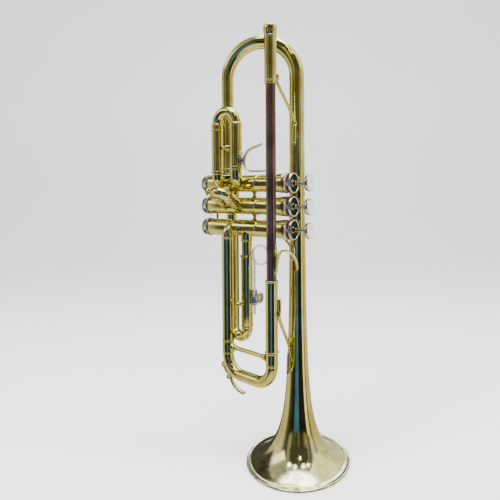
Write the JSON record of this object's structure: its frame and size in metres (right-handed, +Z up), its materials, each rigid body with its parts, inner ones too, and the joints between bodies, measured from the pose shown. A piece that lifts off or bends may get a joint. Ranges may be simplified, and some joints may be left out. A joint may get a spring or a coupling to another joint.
{
  "type": "trumpet",
  "caption": "Piston-valve trumpet standing on its bell, with working finger buttons, pull-out tuning and valve slides, adjustable finger ring and a sprung water key.",
  "frame": {"origin": "centre of the footprint, in the flat plane the bell rim stands on; the bell axis is the vertical line at x = 28.25 mm, y = 0", "axes": "+Z up the bell stem, from the rim to the bow and the mouthpiece receiver; +X towards the finger-button end of the valves; -Y towards the leadpipe side"},
  "size_m": [0.1774, 0.123, 0.4968],
  "materials": {
    "brass": "clear-lacquered polished yellow brass",
    "rose_brass": "clear-lacquered rose brass",
    "nickel": "polished nickel plate",
    "steel": "plain spring steel",
    "felt": "black felt",
    "pearl": "white pearl",
    "cork": "cork"
  },
  "bodies": {
    "horn": {"bell": "brass", "bell_tail_ferrule": "brass", "bell_to_valve_brace": "brass", "bottom_cap_1": "nickel", "bottom_cap_2": "nickel", "bottom_cap_3": "nickel", "casing_brace_12": "brass", "casing_brace_23": "brass", "finger_hook": "brass", "first_slide_port_lower": "brass", "first_slide_port_upper": "brass", "leadpipe": "rose_brass", "leadpipe_slide_tube": "brass", "lower_brace": "brass", "lower_slide_tube": "brass", "mouthpiece_receiver": "brass", "second_slide_port_lower": "brass", "second_slide_port_upper": "brass", "third_slide_port_lower": "brass", "third_slide_port_upper": "brass", "third_slide_stop_nut": "brass", "third_slide_stop_rod": "brass", "top_cap_1": "nickel", "top_cap_2": "nickel", "top_cap_3": "nickel", "top_cap_felt_1": "felt", "top_cap_felt_2": "felt", "top_cap_felt_3": "felt", "upper_brace": "brass", "valve_casing_1": "brass", "valve_casing_2": "brass", "valve_casing_3": "brass", "valve_spring_1": "steel", "valve_spring_2": "steel", "valve_spring_3": "steel"},
    "piston_1": {"valve_piston_1": "nickel", "finger_button_1": "nickel", "button_pearl_1": "pearl"},
    "piston_2": {"valve_piston_2": "nickel", "finger_button_2": "nickel", "button_pearl_2": "pearl"},
    "piston_3": {"valve_piston_3": "nickel", "finger_button_3": "nickel", "button_pearl_3": "pearl"},
    "tuning_slide": {"tuning_slide": "brass", "tuning_slide_brace": "brass", "water_key_saddle": "brass", "water_key_pin": "steel"},
    "water_key": {"water_key_lever": "nickel", "water_key_cork": "cork"},
    "first_slide": {"first_slide": "brass", "first_slide_brace": "brass", "thumb_saddle": "nickel"},
    "second_slide": {"second_slide": "brass", "second_slide_knob": "brass"},
    "third_slide": {"third_slide": "brass", "third_slide_stop_guide": "brass", "finger_ring_socket": "nickel"},
    "finger_ring": {"finger_ring": "nickel"},
    "ring_thumbscrew": {"finger_ring_thumbscrew": "nickel"}
  },
  "joints": [
    {"name": "press_valve_1", "type": "slide", "parent": "horn", "child": "piston_1", "axis": [-1, 0, 0], "range_m": [0, 0.0165], "stiffness_N_per_m": 60, "deforming": ["valve_spring_1"]},
    {"name": "press_valve_2", "type": "slide", "parent": "horn", "child": "piston_2", "axis": [-1, 0, 0], "range_m": [0, 0.0165], "stiffness_N_per_m": 60, "deforming": ["valve_spring_2"]},
    {"name": "press_valve_3", "type": "slide", "parent": "horn", "child": "piston_3", "axis": [-1, 0, 0], "range_m": [0, 0.0165], "stiffness_N_per_m": 60, "deforming": ["valve_spring_3"]},
    {"name": "pull_tuning_slide", "type": "slide", "parent": "horn", "child": "tuning_slide", "axis": [0, 0, -1], "range_m": [0, 0.045]},
    {"name": "open_water_key", "type": "hinge", "parent": "tuning_slide", "child": "water_key", "pos_m": [-0.04284, -0.03532, 0.0983], "axis": [-0.1763, -0.9843, 0], "range_deg": [0, 14], "stiffness_Nm_per_rad": 0.05},
    {"name": "pull_first_slide", "type": "slide", "parent": "horn", "child": "first_slide", "axis": [0, 0, 1], "range_m": [0, 0.025]},
    {"name": "pull_second_slide", "type": "slide", "parent": "horn", "child": "second_slide", "axis": [0, -0.866, 0.5], "range_m": [0, 0.011]},
    {"name": "pull_third_slide", "type": "slide", "parent": "horn", "child": "third_slide", "axis": [0, 0, -1], "range_m": [0, 0.028]},
    {"name": "set_finger_ring", "type": "slide", "parent": "third_slide", "child": "finger_ring", "axis": [0, 0, 1], "range_m": [-0.02, 0.006]},
    {"name": "turn_ring_thumbscrew", "type": "hinge", "parent": "third_slide", "child": "ring_thumbscrew", "pos_m": [-0.00775, -0.0265, 0.193], "axis": [1, 0, 0], "range_deg": [0, 180]}
  ]
}
